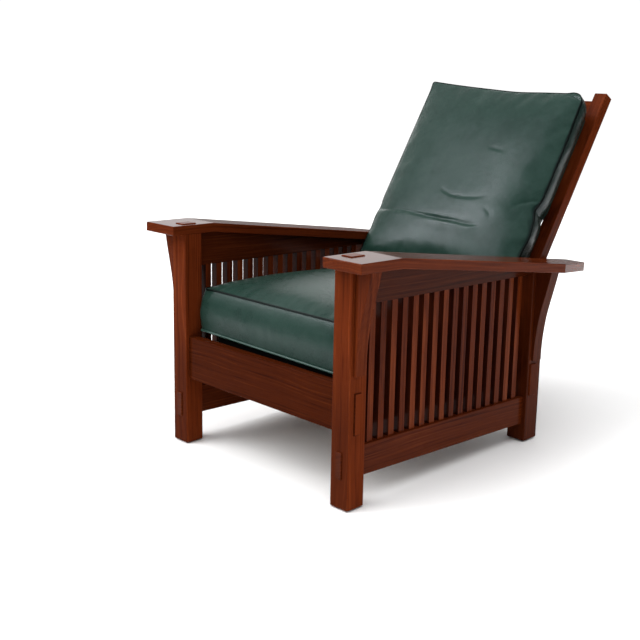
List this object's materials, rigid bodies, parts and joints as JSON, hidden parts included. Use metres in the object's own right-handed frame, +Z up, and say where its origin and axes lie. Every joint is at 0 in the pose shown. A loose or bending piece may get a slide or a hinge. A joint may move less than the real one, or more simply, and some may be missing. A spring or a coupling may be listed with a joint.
{
  "type": "mission reclining armchair",
  "caption": "Wooden armchair with bent arms, slatted sides and an adjustable reclining back held by pegs, with loose boxed leather cushions.",
  "frame": {"origin": "on the floor, under the middle of the whole chair's outer box", "axes": "+Z up; the chair faces -Y; +X is the sitter's left"},
  "size_m": [0.838, 1.161, 0.9454],
  "materials": {
    "frame_wood": "satin lacquer over reddish brown stain",
    "inner_wood": "plain sealed hardwood",
    "peg_wood": "satin lacquer, turned",
    "leather": "dark green leather, soft sheen",
    "steel": "zinc plated",
    "washer_plastic": "nylon",
    "glide_plastic": "nylon",
    "webbing": "woven elastic webbing",
    "deck_cloth": "black deck cloth"
  },
  "bodies": {
    "frame": {"arm_left": "frame_wood", "arm_right": "frame_wood", "cleat_screws": "steel", "deck_pad": "deck_cloth", "foot_glides": "glide_plastic", "front_cleat": "inner_wood", "front_corbel_left": "frame_wood", "front_corbel_right": "frame_wood", "front_leg_left": "frame_wood", "front_leg_right": "frame_wood", "front_rail": "frame_wood", "inner_side_rail_left": "frame_wood", "inner_side_rail_right": "frame_wood", "pivot_pin_left": "steel", "pivot_pin_right": "steel", "pivot_washers": "washer_plastic", "rear_corbel_left": "frame_wood", "rear_corbel_right": "frame_wood", "rear_leg_left": "frame_wood", "rear_leg_right": "frame_wood", "rear_rail": "frame_wood", "seat_cross_rail": "frame_wood", "seat_frame_front": "inner_wood", "seat_frame_rear": "inner_wood", "seat_frame_side_left": "inner_wood", "seat_frame_side_right": "inner_wood", "seat_webbing": "webbing", "side_cleat_left": "inner_wood", "side_cleat_right": "inner_wood", "side_lower_rail_left": "frame_wood", "side_lower_rail_right": "frame_wood", "side_slats_left": "frame_wood", "side_slats_right": "frame_wood", "side_upper_rail_left": "frame_wood", "side_upper_rail_right": "frame_wood"},
    "back": {"back_bottom_rail": "frame_wood", "back_slats": "frame_wood", "back_stile_left": "frame_wood", "back_stile_right": "frame_wood", "back_top_rail": "frame_wood"},
    "back_cushion": {"back_cushion": "leather"},
    "seat_cushion": {"seat_cushion": "leather"},
    "peg_left": {"adjusting_peg_left": "peg_wood"},
    "peg_right": {"adjusting_peg_right": "peg_wood"}
  },
  "joints": [
    {"name": "back_recline", "type": "hinge", "parent": "frame", "child": "back", "pos_m": [0, 0.09401, 0.21047], "axis": [1, 0, 0], "range_deg": [0, 18.87]},
    {"name": "back_cushion_lift_off", "type": "slide", "parent": "back", "child": "back_cushion", "axis": [0, -0.8352, 0.5499], "range_m": [0, 0.45]},
    {"name": "seat_cushion_lift_off", "type": "slide", "parent": "frame", "child": "seat_cushion", "axis": [0, -0.9976, 0.0689], "range_m": [0, 0.72]},
    {"name": "peg_left_pull", "type": "slide", "parent": "frame", "child": "peg_left", "axis": [-1, 0, 0], "range_m": [0, 0.11]},
    {"name": "peg_right_pull", "type": "slide", "parent": "frame", "child": "peg_right", "axis": [1, 0, 0], "range_m": [0, 0.11]}
  ]
}
